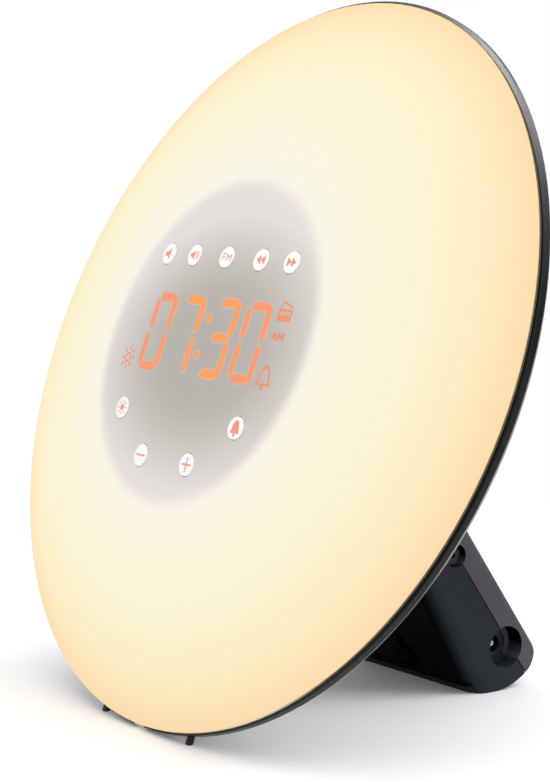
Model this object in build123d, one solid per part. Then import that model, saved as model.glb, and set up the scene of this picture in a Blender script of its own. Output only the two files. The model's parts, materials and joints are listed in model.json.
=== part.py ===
"""Sunrise alarm clock: a round domed lamp disc that leans back on a hollow wedge leg.

Disc pieces are modelled in the disc's own frame: X to the right, Y up along the disc, Z out of its
face, with the origin at the centre of the rim's front edge. The leg is modelled where it stands:
X to the right, Y to the back, Z up from the table. Millimetres throughout.
"""
from build123d import *
from math import atan, cos, degrees, pi, radians, sin, sqrt, tan
import os

# ---------------------------------------------------------------- driving dimensions
# disc
DISC_RADIUS = 132.5
TILT = 22.0                # lean of the disc back from upright, degrees
DOME_HEIGHT = 23.6         # how far the front dome stands out at its centre
DOME_FULLNESS = 0.744      # 0 is a plain parabola; more gives a flatter middle and a steeper edge
DIFFUSER_WALL = 2.0
DIFFUSER_EDGE = 0.9        # height of the diffuser's visible edge
SKIRT_DEPTH = 4.4
SKIRT_WALL = 1.5
RIM_GROOVE = 0.3           # shadow gap between diffuser edge and rim band
BAND_HEIGHT = 4.9
BAND_INSET = 0.2           # rim band's front radius is this much under the diffuser's
BAND_DRAFT = 0.9           # back's radius is this much under the band's front radius
BEAD_PROUD = 1.2           # the band swells by this much behind the shadow gap
BEAD_RISE = 0.4            # centre of the swollen ring above the disc's centre
BEAD_LIP = 0.4             # height of the step from the gap to the swollen ring
BEAD_HEIGHT = 2.0
RIM_CLEARANCE = 0.2        # lowest point of the rim above the table
SHELL_WALL = 2.2
BACK_BULGE = 31.0
TAB_WIDTH = 6.0
FIT_GAP = 0.2              # gap around fitted plastic pieces

# light and display stack, heights from the rim's front edge
REFLECTOR_WALL = 1.5
REFLECTOR_TOP = -13.0
REFLECTOR_FLAT_RADIUS = 86.0
REFLECTOR_RIM_TOP = -2.6
LED_BOARD_GAP = 2.2        # between the display shroud's foot and the light board
LED_BOARD_MARGIN = 3.0     # between the light board and the end of the reflector's flat
BOARD_THICKNESS = 1.6
LED_COUNT = 18
LED_SIZE = 3.5
LED_HEIGHT = 1.3
SHROUD_RADIUS = 59.5
SHROUD_WALL = 1.6
SHROUD_FOOT = 2.3
SHROUD_TOP_GAP = 0.6
SHROUD_FLOOR_TOP = 5.6
DISPLAY_BOARD_RADIUS = 55.0
DISPLAY_BOARD_BASE = 8.0
BOARD_POST_RADIUS = 3.0
BOARD_POST_SPREAD_X = 26.0
BOARD_POST_SPREAD_Y = 40.0

# digits
DIGIT_BLOCK_WIDTH = 93.0
DIGIT_BLOCK_HEIGHT = 35.0
DIGIT_BLOCK_TOP = 19.6
DIGIT_CENTRE_X = 0.7
DIGIT_CENTRE_Y = -0.4
DIGIT_PITCH = 17.5
COLON_EXTRA = 3.1
DIGIT_WIDTH = 11.5         # between the centres of the upright segments
DIGIT_HEIGHT = 25.4        # between the centres of the top and bottom segments
SEGMENT_WIDTH = 3.0
SEGMENT_GAP = 0.5
SEGMENT_DEPTH = 5.0
SEGMENT_PROUD = 0.2
COLON_RADIUS = 1.3
COLON_SPREAD = 6.3
ICON_X = 41.5
ICON_DEPTH = 2.0
ICON_LINE = 0.7

# buttons: name and place on the disc
BUTTON_RADIUS = 3.9
BUTTON_HOLE_RADIUS = 4.1
BUTTON_PROUD = 0.35
BUTTON_TRAVEL = 0.6
BUTTON_FLANGE_RADIUS = 5.2
BUTTON_FLANGE_HEIGHT = 0.9
BUTTON_FLANGE_GAP = 0.3
BUTTON_STEM_RADIUS = 2.2
BUTTON_REST_GAP = 0.25
BUTTONS = {
    "button_volume_down": (-36.5, 27.9),
    "button_volume_up": (-19.8, 27.9),
    "button_radio": (0.0, 27.9),
    "button_previous": (19.8, 27.9),
    "button_next": (36.5, 27.9),
    "button_light": (-34.7, -29.8),
    "button_alarm": (34.7, -29.8),
    "button_minus": (-14.1, -45.0),
    "button_plus": (14.1, -45.0),
}
MAT_THICKNESS = 0.9
MAT_RADIUS = 54.0
MAT_DOME_BASE = 5.0
MAT_DOME_TOP = 3.2
MAT_DOME_HEIGHT = 5.4
MAT_DOME_WALL = 0.9
PILL_RADIUS = 1.8
PILL_HEIGHT = 0.8

# back of the disc
BOSS_X = 42.6
BOSS_Y = 29.8
BOSS_RADIUS = 4.0
REFLECTOR_BOSS_HEIGHT = 9.0
SCREW_RADIUS = 1.5
SCREW_HOLE_RADIUS = 1.7
SCREW_HEAD_RADIUS = 3.0
SCREW_HEAD_HEIGHT = 2.0
SCREW_SEAT_DEPTH = 3.2
CROSS_WIDTH = 0.8
CROSS_DEPTH = 1.0
CABLE_WINDOW_X = 26.0
CABLE_WINDOW_Y = 9.0
CABLE_WINDOW_RISE = 0.8    # window centre above where the leg's seam meets the disc
MAIN_BOARD_X = 66.0
MAIN_BOARD_Y = 42.0
MAIN_BOARD_REACH = 0.55    # its far corners, as a share of the disc radius
MAIN_BOARD_BASE = -23.6
SPEAKER_RADIUS = 22.0
SPEAKER_REACH = 0.5585     # far side of the speaker, as a share of the disc radius
SPEAKER_FLANGE = 1.2
SPEAKER_DEPTH = 8.0
SPEAKER_BASKET = 4.0         # height of the basket above its flange
SPEAKER_SEAT_RISE = 0.4    # seat above the shell's inside at the speaker's far side
SPEAKER_RING_WALL = 2.0
GASKET_THICKNESS = 0.8
MAGNET_RADIUS = 11.0
GRILLE_RADIUS = 17.5
GRILLE_PITCH = 4.6
GRILLE_HOLE = 1.15

# leg
LEG_WIDTH = 71.4
LEG_WALL = 2.2
HEEL_Y = 105.15            # heel corner before rounding, behind the disc's centre line
HEEL_Z = 10.45
REAR_ANGLE = 54.6          # rear face above the table, degrees
FRONT_FOOT_Y = 69.5        # front face where it meets the sole
FRONT_ANGLE = 61.0
SOLE_TOP = 5.0
SOLE_LENGTH = 15.0
SOLE_END_WALL = 1.8        # leg wall left beside each end of the sole
SOLE_CORE_INSET = 1.5      # sole plate's core behind the leg's front face
SOLE_RIDGES = ((3.95, 0.3), (2.55, 0.6))    # base and inset of the plate's two ridges
SOLE_RIDGE_HEIGHT = 0.8
PAD_HEIGHT = 2.2
PAD_INSET = 1.3
HEEL_CLEARANCE = 0.1
HEEL_FLAT_END_Y = 90.2
HEEL_RADIUS = 9.3
HEEL_CURVE_RADIUS = 28.0
LEG_FRONT_RADIUS = 7.0
LEG_REAR_RADIUS = 2.6
LEG_SINK = 10.0            # how far the leg is drawn past the back of the disc before trimming
SEAM_DEPTH = 9.6           # seam between housing and cover, in from the rear face
SEAM_GROOVE_WIDTH = 0.5
SEAM_GROOVE_DEPTH = 0.6
POCKET_RADIUS = 9.5        # arched pocket low on the leg's front face
POCKET_CENTRE = 6.6        # its centre above the sole, along the face
POCKET_DEPTH = 7.0
POCKET_WALL = 1.8
POWER_UP = 14.7            # power recess above the heel corner, along the rear face
POWER_IN = 11.3            # and in from the rear face
POWER_RECESS_RADIUS = 7.8
POWER_RECESS_DEPTH = 7.0
AERIAL_UP = 58.5
AERIAL_IN = 10.0
AERIAL_RECESS_RADIUS = 4.3
AERIAL_RECESS_DEPTH = 4.0
RECESS_WALL = 1.6
JACK_NOSE_RADIUS = 5.5
JACK_BODY = 12.0
JACK_LENGTH = 14.0         # body behind the recess floor
JACK_SET_BACK = 0.3
JACK_PIN_SET_BACK = 0.6
JACK_BORE_RADIUS = 3.2
JACK_BORE_DEPTH = 9.0
JACK_PIN_RADIUS = 1.0
LEG_BOSS_X = 22.0
LEG_BOSS_DROP = 8.0        # boss centres below the cable window's centre
LEG_BOSS_LENGTH = 8.0
LEG_RIB_LENGTH = 20.0
LEG_SCREW_ROWS = (32.5, 94.5)
LEG_SCREW_X = 20.0
LEG_POST_REACH = 60.0      # posts run from the cover until they meet the front wall

# rubber feet on the rim
FOOT_X = 26.2
FOOT_WIDTH = 2.6
FOOT_LENGTH = 1.8
FOOT_SET_BACK = 2.4        # front of a foot behind the band's front edge
FOOT_ROUND = 0.5

# leads
LEAD_RADIUS = 1.0
LEAD_CORNER = 0.45         # share of the shorter run that a corner's arc takes
LEAD_X = -1.5              # where the power lead climbs the leg
LEAD_STEP = 22.0
LEAD_SAG = 1.5
SPEAKER_LEAD_ANGLE = 222.0 # where the speaker lead meets the flange, degrees
SPEAKER_LEAD_OUT = 12.0
SPEAKER_LEAD_STEPS = ((0.31, -1.0, 0.0), (0.654, -3.0, -2.0))    # share of the way, aside, drop
RIBBON_WIDTH = 16.0
RIBBON_THICKNESS = 0.8

# ---------------------------------------------------------------- derived values
BAND_RADIUS = DISC_RADIUS - BAND_INSET
BAND_TOP = -DIFFUSER_EDGE - RIM_GROOVE
BAND_BACK = BAND_TOP - BAND_HEIGHT
BACK_RADIUS = BAND_RADIUS - BAND_DRAFT
BEAD_RADIUS = BAND_RADIUS + BEAD_PROUD
BEAD_FRONT = BAND_TOP - BEAD_LIP
BEAD_BACK = BEAD_FRONT - BEAD_HEIGHT
SKIRT_RADIUS = BAND_RADIUS - SHELL_WALL - BAND_DRAFT - FIT_GAP
SKIRT_INNER = SKIRT_RADIUS - SKIRT_WALL
DISPLAY_BOARD_TOP = DISPLAY_BOARD_BASE + BOARD_THICKNESS
MAIN_BOARD_TOP = MAIN_BOARD_BASE + BOARD_THICKNESS
MAT_DOME_TOP_Z = DISPLAY_BOARD_TOP + MAT_DOME_HEIGHT
LED_BOARD_INNER = SHROUD_RADIUS + SHROUD_FOOT + LED_BOARD_GAP
LED_BOARD_OUTER = REFLECTOR_FLAT_RADIUS - LED_BOARD_MARGIN
SPEAKER_FAR = DISC_RADIUS * SPEAKER_REACH
SPEAKER_Y = SPEAKER_FAR - SPEAKER_RADIUS
MAIN_BOARD_CENTRE_Y = (MAIN_BOARD_Y / 2
                       - sqrt((DISC_RADIUS * MAIN_BOARD_REACH) ** 2 - (MAIN_BOARD_X / 2) ** 2))
HALF_LEG = LEG_WIDTH / 2
CURVE_STEPS = 9


# ---------------------------------------------------------------- disc profiles
def front_height(r):
    """Height of the front dome over the rim plane at radius r."""
    q = (r / DISC_RADIUS) ** 2
    return DOME_HEIGHT * (1 - q) * (1 + DOME_FULLNESS * q)


def front_slope(r):
    q = r / DISC_RADIUS
    return DOME_HEIGHT * (-2 * (1 - DOME_FULLNESS) * q - 4 * DOME_FULLNESS * q**3) / DISC_RADIUS


def under_front(r, depth):
    """Height of a surface that lies a given depth under the front dome."""
    return front_height(r) - depth * sqrt(1 + front_slope(r) ** 2)


def back_height(r, depth=0.0):
    """Height of the back surface, or of one that lies a given depth inside it."""
    q = r / BACK_RADIUS
    slope = 2 * BACK_BULGE * q / BACK_RADIUS
    return BAND_BACK - BACK_BULGE * (1 - q**2) + depth * sqrt(1 + slope**2)


SPEAKER_SEAT = back_height(SPEAKER_FAR, SHELL_WALL) + SPEAKER_SEAT_RISE


def profile_curve(height, radius):
    """Smooth curve from the axis to a radius, through points of a height formula."""
    radii = [radius * i / CURVE_STEPS for i in range(CURVE_STEPS + 1)]
    step = 0.01
    end_slope = (height(radius) - height(radius - step)) / step
    points = [(r, height(r)) for r in radii]
    return Spline(*points, tangents=[(1, 0), (1, end_slope)])


def turned(*edges):
    """Solid of revolution about Z from a closed profile of (radius, height) edges."""
    return revolve(Plane.XZ * make_face(Curve() + list(edges)), Axis.Z)


def under_dome_solid(depth, floor):
    """Everything below the front dome, lowered by depth, down to a floor height."""
    def height(r):
        return under_front(r, depth)
    radius = SKIRT_INNER
    wall = Polyline((radius, height(radius)), (radius, floor), (0, floor), (0, height(0)))
    return turned(profile_curve(height, radius), wall)


def disc_cylinder(radius, low, high, x=0.0, y=0.0):
    return Pos(x, y, (low + high) / 2) * Cylinder(radius, high - low)


def disc_box(size_x, size_y, low, high, x=0.0, y=0.0):
    return Pos(x, y, (low + high) / 2) * Box(size_x, size_y, high - low)


def corner_places(x, y, centre_y=0.0):
    return [(sx * x, centre_y + sy * y) for sx in (-1, 1) for sy in (-1, 1)]


# ---------------------------------------------------------------- placing
FOOT_FRONT = BAND_TOP - FOOT_SET_BACK
FOOT_BACK = FOOT_FRONT - FOOT_LENGTH
TILT_COS = cos(radians(TILT))
TILT_SIN = sin(radians(TILT))
DISC_Z = (BEAD_RADIUS - BEAD_RISE) * TILT_COS - BEAD_BACK * TILT_SIN + RIM_CLEARANCE
DISC_PLACE = Location((0, 0, DISC_Z), (90 - TILT, 0, 0))


def above_table():
    """The room over the table, in the disc's frame."""
    size = 4 * DISC_RADIUS
    return DISC_PLACE.inverse() * Pos(0, 0, size / 2) * Box(size, size, size)


# ---------------------------------------------------------------- disc shells
def diffuser():
    inner = profile_curve(lambda r: under_front(r, DIFFUSER_WALL), SKIRT_INNER)
    edge = Polyline(
        (DISC_RADIUS, 0), (DISC_RADIUS, -DIFFUSER_EDGE), (SKIRT_RADIUS, -DIFFUSER_EDGE),
        (SKIRT_RADIUS, -SKIRT_DEPTH), (SKIRT_INNER, -SKIRT_DEPTH),
        (SKIRT_INNER, under_front(SKIRT_INNER, DIFFUSER_WALL)))
    axis_edge = Line((0, under_front(0, DIFFUSER_WALL)), (0, front_height(0)))
    shape = turned(profile_curve(front_height, DISC_RADIUS), edge, inner, axis_edge)
    shape -= [disc_cylinder(BUTTON_HOLE_RADIUS, 0, DOME_HEIGHT + 2, x, y)
              for x, y in BUTTONS.values()]
    reach = BEAD_RADIUS - SKIRT_INNER
    tab = disc_box(TAB_WIDTH, reach, BAND_BACK, -DIFFUSER_EDGE / 2, 0, reach / 2 - BEAD_RADIUS)
    return shape + (tab & (disc_cylinder(DISC_RADIUS, BEAD_FRONT, 0) + band_bead()))


def rim_notch(extra):
    width = TAB_WIDTH + 2 * extra
    depth = BEAD_RADIUS - SKIRT_INNER + 1
    return disc_box(width, 2 * depth, BAND_BACK - 0.01, 1, 0, -BEAD_RADIUS)


def foot_block(sign, extra=0.0):
    size = BEAD_RADIUS - SKIRT_INNER
    return disc_box(FOOT_WIDTH + extra, 2 * size, FOOT_BACK - extra / 2, FOOT_FRONT + extra / 2,
                    sign * FOOT_X, -sqrt(BEAD_RADIUS**2 - FOOT_X**2))


def bead_ring(height, radius, rise):
    return Plane.XY.offset(height) * Pos(0, rise) * Circle(radius)


def band_bead():
    """The band's outer body: a lip, a straight side, and a slope to the back."""
    gap = bead_ring(BAND_TOP, BAND_RADIUS, 0)
    front = bead_ring(BEAD_FRONT, BEAD_RADIUS, BEAD_RISE)
    rear = bead_ring(BEAD_BACK, BEAD_RADIUS, BEAD_RISE)
    back = bead_ring(BAND_BACK, BACK_RADIUS, 0)
    return loft([gap, front]) + loft([front, rear]) + loft([rear, back])


def back_solid(depth=0.0):
    """Everything in front of the back surface, up to the band's top."""
    radius = BACK_RADIUS - depth
    def height(r):
        return back_height(r, depth)
    wall = Polyline((radius, height(radius)), (BAND_RADIUS - depth, BAND_TOP), (0, BAND_TOP),
                    (0, height(0)))
    return turned(profile_curve(height, radius), wall)


def screw_head_place(x, y):
    """Height of the seat that a shell screw's head lies on."""
    return back_height(sqrt(x * x + y * y)) + SCREW_SEAT_DEPTH


def grille_places():
    """Sound holes on a hexagonal grid inside a circle."""
    rows = int(GRILLE_RADIUS / (GRILLE_PITCH * sqrt(3) / 2))
    places = []
    for row in range(-rows, rows + 1):
        y = row * GRILLE_PITCH * sqrt(3) / 2
        shift = GRILLE_PITCH / 2 * (row % 2)
        for column in range(-rows - 1, rows + 2):
            x = column * GRILLE_PITCH + shift
            if x * x + y * y <= GRILLE_RADIUS**2:
                places.append((x, SPEAKER_Y + y))
    return places


def rear_shell():
    inside = back_solid(SHELL_WALL)
    posts = Part()
    reflector_base = REFLECTOR_TOP - REFLECTOR_WALL
    for x, y in corner_places(BOSS_X, BOSS_Y):
        posts += disc_cylinder(BOSS_RADIUS, back_height(0), reflector_base, x, y)
    for x, y in main_board_posts():
        posts += disc_cylinder(BOARD_POST_RADIUS, back_height(0), MAIN_BOARD_BASE, x, y)
    seat_inner = SPEAKER_RADIUS - SPEAKER_RING_WALL
    posts += (disc_cylinder(SPEAKER_RADIUS, back_height(0), SPEAKER_SEAT, 0, SPEAKER_Y)
              - disc_cylinder(seat_inner, back_height(0), SPEAKER_SEAT, 0, SPEAKER_Y))
    shell = back_solid() + band_bead() - (inside - posts)
    shell -= disc_cylinder(BAND_RADIUS - SHELL_WALL, BAND_TOP - 1, BAND_TOP + 1)
    below = back_height(0) - 1
    cuts = [rim_notch(FIT_GAP), foot_block(-1, FIT_GAP), foot_block(1, FIT_GAP)]
    for x, y in corner_places(BOSS_X, BOSS_Y):
        seat = screw_head_place(x, y)
        cuts.append(disc_cylinder(SCREW_HOLE_RADIUS, back_height(0), 0, x, y))
        cuts.append(disc_cylinder(SCREW_HEAD_RADIUS + FIT_GAP, below, seat, x, y))
    for x, y in main_board_posts():
        cuts.append(disc_cylinder(SCREW_RADIUS, MAIN_BOARD_BASE - 4, 0, x, y))
    for x, y in grille_places():
        cuts.append(disc_cylinder(GRILLE_HOLE, below, SPEAKER_SEAT, x, y))
    cuts.append(disc_box(CABLE_WINDOW_X, CABLE_WINDOW_Y, below, MAIN_BOARD_BASE,
                         0, CABLE_WINDOW_CENTRE_Y))
    for x, y in leg_boss_places():
        cuts.append(disc_cylinder(SCREW_HOLE_RADIUS, below, MAIN_BOARD_BASE, x, y))
    return shell - cuts


def rim_feet():
    """Two rubber feet pressed into pockets in the rim band, cut off level with the table."""
    feet = []
    for sign in (-1, 1):
        block = foot_block(sign)
        peg = fillet(block.edges().filter_by(Axis.Y), FOOT_ROUND)
        peg -= disc_cylinder(SKIRT_RADIUS + FOOT_ROUND, BAND_BACK - 1, 0)
        feet.append(peg & above_table())
    return Compound(children=feet)


# ---------------------------------------------------------------- light
def reflector():
    base = REFLECTOR_TOP - REFLECTOR_WALL
    outer = SKIRT_INNER - 0.3
    profile = Polyline(
        (0, REFLECTOR_TOP), (REFLECTOR_FLAT_RADIUS, REFLECTOR_TOP), (outer, REFLECTOR_RIM_TOP),
        (outer, REFLECTOR_RIM_TOP - REFLECTOR_WALL), (REFLECTOR_FLAT_RADIUS, base), (0, base),
        close=True)
    dish = turned(profile)
    for x, y in corner_places(BOSS_X, BOSS_Y):
        top = REFLECTOR_TOP + REFLECTOR_BOSS_HEIGHT
        dish += disc_cylinder(BOSS_RADIUS, REFLECTOR_TOP, top, x, y)
        dish -= disc_cylinder(SCREW_RADIUS, base, top - 1, x, y)
    dish -= disc_box(RIBBON_WIDTH + 4, 6, base, REFLECTOR_TOP, 0, RIBBON_Y)
    return dish


RIBBON_Y = MAIN_BOARD_CENTRE_Y + MAIN_BOARD_Y / 2 - 4


def ring_board():
    low = REFLECTOR_TOP
    return (disc_cylinder(LED_BOARD_OUTER, low, low + BOARD_THICKNESS)
            - disc_cylinder(LED_BOARD_INNER, low, low + BOARD_THICKNESS))


def led_chips():
    middle = (LED_BOARD_INNER + LED_BOARD_OUTER) / 2
    low = REFLECTOR_TOP + BOARD_THICKNESS
    chips = []
    for i in range(LED_COUNT):
        chip = disc_box(LED_SIZE, LED_SIZE, low, low + LED_HEIGHT, middle, 0)
        chips.append(Rot(0, 0, 360 / LED_COUNT * i) * chip)
    return Compound(children=chips)


# ---------------------------------------------------------------- display
def display_shroud():
    inner = SHROUD_RADIUS - SHROUD_WALL
    foot_top = REFLECTOR_TOP + SHROUD_WALL
    top = under_front(SHROUD_RADIUS, DIFFUSER_WALL + SHROUD_TOP_GAP)
    floor_base = SHROUD_FLOOR_TOP - SHROUD_WALL
    profile = Polyline(
        (0, floor_base), (inner, floor_base), (inner, REFLECTOR_TOP),
        (SHROUD_RADIUS + SHROUD_FOOT, REFLECTOR_TOP), (SHROUD_RADIUS + SHROUD_FOOT, foot_top),
        (SHROUD_RADIUS, foot_top), (SHROUD_RADIUS, top), (inner, top),
        (inner, SHROUD_FLOOR_TOP), (0, SHROUD_FLOOR_TOP), close=True)
    cup = turned(profile)
    for x, y in corner_places(BOARD_POST_SPREAD_X, BOARD_POST_SPREAD_Y):
        cup += disc_cylinder(BOARD_POST_RADIUS, SHROUD_FLOOR_TOP, DISPLAY_BOARD_BASE, x, y)
        cup -= disc_cylinder(SCREW_RADIUS, floor_base, DISPLAY_BOARD_BASE, x, y)
    return cup - disc_box(RIBBON_WIDTH + 4, 6, floor_base, SHROUD_FLOOR_TOP, 0, RIBBON_Y)


def display_board():
    board = disc_cylinder(DISPLAY_BOARD_RADIUS, DISPLAY_BOARD_BASE, DISPLAY_BOARD_TOP)
    for x, y in corner_places(BOARD_POST_SPREAD_X, BOARD_POST_SPREAD_Y):
        board -= disc_cylinder(SCREW_HOLE_RADIUS, DISPLAY_BOARD_BASE, DISPLAY_BOARD_TOP, x, y)
    return board


def bar(start, end, width):
    """Flat bar between two points, with square ends."""
    dx, dy = end[0] - start[0], end[1] - start[1]
    length = sqrt(dx * dx + dy * dy)
    turn = degrees(atan(dy / dx)) if dx else 90
    middle = ((start[0] + end[0]) / 2, (start[1] + end[1]) / 2)
    return Pos(*middle) * Rot(0, 0, turn) * Rectangle(length, width)


def segment(length):
    """One display segment lying along X, with pointed ends."""
    half, side = length / 2, SEGMENT_WIDTH / 2
    return make_face(Polyline(
        (-half, 0), (-half + side, side), (half - side, side), (half, 0),
        (half - side, -side), (-half + side, -side), close=True))


def digit_segments():
    """The seven segments of one digit, by letter, about the digit's centre."""
    flat = DIGIT_WIDTH - SEGMENT_GAP
    tall = DIGIT_HEIGHT / 2 - SEGMENT_GAP
    half_x, half_y, quarter_y = DIGIT_WIDTH / 2, DIGIT_HEIGHT / 2, DIGIT_HEIGHT / 4
    upright = Rot(0, 0, 90) * segment(tall)
    return {
        "a": Pos(0, half_y) * segment(flat), "g": segment(flat),
        "d": Pos(0, -half_y) * segment(flat),
        "b": Pos(half_x, quarter_y) * upright, "c": Pos(half_x, -quarter_y) * upright,
        "f": Pos(-half_x, quarter_y) * upright, "e": Pos(-half_x, -quarter_y) * upright,
    }


def digit_places():
    middle = COLON_EXTRA / 2 + DIGIT_PITCH / 2
    return [DIGIT_CENTRE_X + x for x in (-middle - DIGIT_PITCH, -middle, middle,
                                         middle + DIGIT_PITCH)]


DIGIT_SHAPES = ("abcdef", "abc", "abgcd", "abcdef")     # 0 7 3 0


def colon_dots():
    return [Pos(DIGIT_CENTRE_X, DIGIT_CENTRE_Y + s * COLON_SPREAD) * Circle(COLON_RADIUS)
            for s in (-1, 1)]


def segment_faces(lit):
    faces = []
    for x, letters in zip(digit_places(), DIGIT_SHAPES):
        for letter, face in digit_segments().items():
            if (letter in letters) == lit:
                faces.append(Pos(x, DIGIT_CENTRE_Y) * face)
    return faces + (colon_dots() if lit else [])


def sun_icon():
    parts = [Circle(1.9) - Circle(1.9 - ICON_LINE)]
    for i in range(8):
        parts.append(Rot(0, 0, 45 * i) * bar((2.7, 0), (4.3, 0), ICON_LINE))
    return parts


def bell_icon():
    outside = make_face(Polyline((-3.4, -2.6), (-2.3, -1.4), (-2.0, 1.6), (-1.0, 3.4), (1.0, 3.4),
                                 (2.0, 1.6), (2.3, -1.4), (3.4, -2.6), close=True))
    inside = make_face(Polyline((-2.1, -1.95), (-1.5, -1.2), (-1.3, 1.4), (-0.6, 2.7), (0.6, 2.7),
                                (1.3, 1.4), (1.5, -1.2), (2.1, -1.95), close=True))
    return [outside - inside, Pos(0, -3.5) * Circle(0.6)]


def radio_icon():
    body = Rectangle(7.0, 4.2) - Rectangle(7.0 - 2 * ICON_LINE, 4.2 - 2 * ICON_LINE)
    return [Pos(0, -1.5) * body, Pos(1.2, -1.5) * Circle(0.9),
            bar((-2.6, 0.62), (2.6, 3.6), ICON_LINE)]


def morning_icon():
    """The letters of the morning mark, as bars."""
    thin = 0.5
    letter_a = [bar((-3.2, -1.3), (-2.0, 1.3), thin), bar((-2.0, 1.3), (-0.8, -1.3), thin),
                bar((-2.7, -0.4), (-1.3, -0.4), thin)]
    letter_m = [bar((0.4, -1.3), (0.4, 1.3), thin), bar((0.4, 1.3), (1.7, -0.5), thin),
                bar((1.7, -0.5), (3.0, 1.3), thin), bar((3.0, 1.3), (3.0, -1.3), thin)]
    return [join_faces(letter_a), join_faces(letter_m)]


def join_faces(faces):
    joined = faces[0]
    for face in faces[1:]:
        joined += face
    return joined


def icon_faces():
    places = [(sun_icon(), -ICON_X, -11.6), (radio_icon(), ICON_X, 11.2),
              (morning_icon(), ICON_X + 0.5, 2.5), (bell_icon(), ICON_X, -11.4)]
    return [Pos(x, y) * face for faces, x, y in places for face in faces]


def raised(faces, low, high):
    solids = []
    for face in faces:
        solids += (Pos(0, 0, low) * extrude(face, high - low)).solids()
    return solids


def digit_block():
    block = disc_box(DIGIT_BLOCK_WIDTH, DIGIT_BLOCK_HEIGHT, DISPLAY_BOARD_TOP, DIGIT_BLOCK_TOP,
                     0, DIGIT_CENTRE_Y)
    pocket_floor = DIGIT_BLOCK_TOP - SEGMENT_DEPTH
    pockets = raised(segment_faces(True) + segment_faces(False), pocket_floor, DIGIT_BLOCK_TOP)
    return block - pockets - raised(icon_faces(), DIGIT_BLOCK_TOP - ICON_DEPTH, DIGIT_BLOCK_TOP)


def segments(lit):
    top = DIGIT_BLOCK_TOP + SEGMENT_PROUD
    return Compound(children=raised(segment_faces(lit), DIGIT_BLOCK_TOP - SEGMENT_DEPTH, top))


def indicator_icons():
    top = DIGIT_BLOCK_TOP + SEGMENT_PROUD
    return Compound(children=raised(icon_faces(), DIGIT_BLOCK_TOP - ICON_DEPTH, top))


# ---------------------------------------------------------------- buttons
def mat_dome(x, y):
    low = DISPLAY_BOARD_TOP
    shape = Pos(x, y, low + MAT_DOME_HEIGHT / 2) * Cone(MAT_DOME_BASE, MAT_DOME_TOP,
                                                         MAT_DOME_HEIGHT)
    return shape


def mat_hollow(x, y):
    height = MAT_DOME_HEIGHT - MAT_DOME_WALL
    low = DISPLAY_BOARD_TOP
    return Pos(x, y, low + height / 2) * Cone(MAT_DOME_BASE - MAT_DOME_WALL,
                                               MAT_DOME_TOP - MAT_DOME_WALL, height)


def keypad_mat():
    low = DISPLAY_BOARD_TOP
    mat = disc_cylinder(MAT_RADIUS, low, low + MAT_THICKNESS)
    mat -= disc_box(DIGIT_BLOCK_WIDTH + 1, DIGIT_BLOCK_HEIGHT + 1, low, low + MAT_THICKNESS,
                    0, DIGIT_CENTRE_Y)
    for x, y in BUTTONS.values():
        mat += mat_dome(x, y)
    for x, y in BUTTONS.values():
        mat -= mat_hollow(x, y)
    for x, y in corner_places(BOARD_POST_SPREAD_X, BOARD_POST_SPREAD_Y):
        mat -= disc_cylinder(SCREW_HEAD_RADIUS + FIT_GAP, low, low + MAT_THICKNESS, x, y)
    return mat


def contact_pills():
    roof = MAT_DOME_TOP_Z - MAT_DOME_WALL
    return Compound(children=[disc_cylinder(PILL_RADIUS, roof - PILL_HEIGHT, roof, x, y)
                              for x, y in BUTTONS.values()])


def button(x, y):
    """Round cap that follows the dome, with a flange behind the diffuser and a stem."""
    far = sqrt(x * x + y * y) + BUTTON_FLANGE_RADIUS
    flange_top = under_front(far, DIFFUSER_WALL) - BUTTON_FLANGE_GAP
    flange_base = flange_top - BUTTON_FLANGE_HEIGHT
    stem_base = MAT_DOME_TOP_Z + BUTTON_TRAVEL + BUTTON_REST_GAP
    cap = disc_cylinder(BUTTON_RADIUS, flange_base, DOME_HEIGHT + 2, x, y)
    cap = cap & under_dome_solid(-BUTTON_PROUD, 0)
    cap += disc_cylinder(BUTTON_FLANGE_RADIUS, flange_base, flange_top, x, y)
    return cap + disc_cylinder(BUTTON_STEM_RADIUS, stem_base, flange_base, x, y)


# ---------------------------------------------------------------- electronics in the disc
def main_board_posts():
    return corner_places(MAIN_BOARD_X / 2 - 5, MAIN_BOARD_Y / 2 - 5, MAIN_BOARD_CENTRE_Y)


def main_board():
    board = disc_box(MAIN_BOARD_X, MAIN_BOARD_Y, MAIN_BOARD_BASE, MAIN_BOARD_TOP,
                     0, MAIN_BOARD_CENTRE_Y)
    for x, y in main_board_posts():
        board -= disc_cylinder(SCREW_HOLE_RADIUS, MAIN_BOARD_BASE, MAIN_BOARD_TOP, x, y)
    return board


# header, controller, converter coil and lead sockets: size x, size y, height, x, y from the board
BOARD_PARTS = {
    "ribbon_header": (20.0, 5.0, 3.0, 0.0, MAIN_BOARD_Y / 2 - 4),
    "controller": (12.0, 12.0, 1.4, -4.0, 3.0),
    "radio_chip": (5.0, 5.0, 1.0, 10.0, 4.0),
    "coil": (8.0, 8.0, 4.0, 16.0, -9.0),
    "power_socket": (7.0, 6.0, 5.0, 20.0, 12.0),
    "speaker_socket": (6.0, 6.0, 5.0, -20.0, 12.0),
}


def main_board_parts():
    low = MAIN_BOARD_TOP
    return Compound(children=[
        disc_box(size_x, size_y, low, low + height, x, MAIN_BOARD_CENTRE_Y + y)
        for size_x, size_y, height, x, y in BOARD_PARTS.values()])


CAPACITOR_RADIUS = 3.1
CAPACITOR_LENGTH = 12.0
CAPACITOR_X = -14.0
CAPACITOR_Y = MAIN_BOARD_CENTRE_Y - 10.0


def reserve_capacitor():
    """Lying can that keeps the clock running through a power cut."""
    can = Rot(0, 90, 0) * Cylinder(CAPACITOR_RADIUS, CAPACITOR_LENGTH)
    return Pos(CAPACITOR_X, CAPACITOR_Y, MAIN_BOARD_TOP + CAPACITOR_RADIUS) * can


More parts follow.
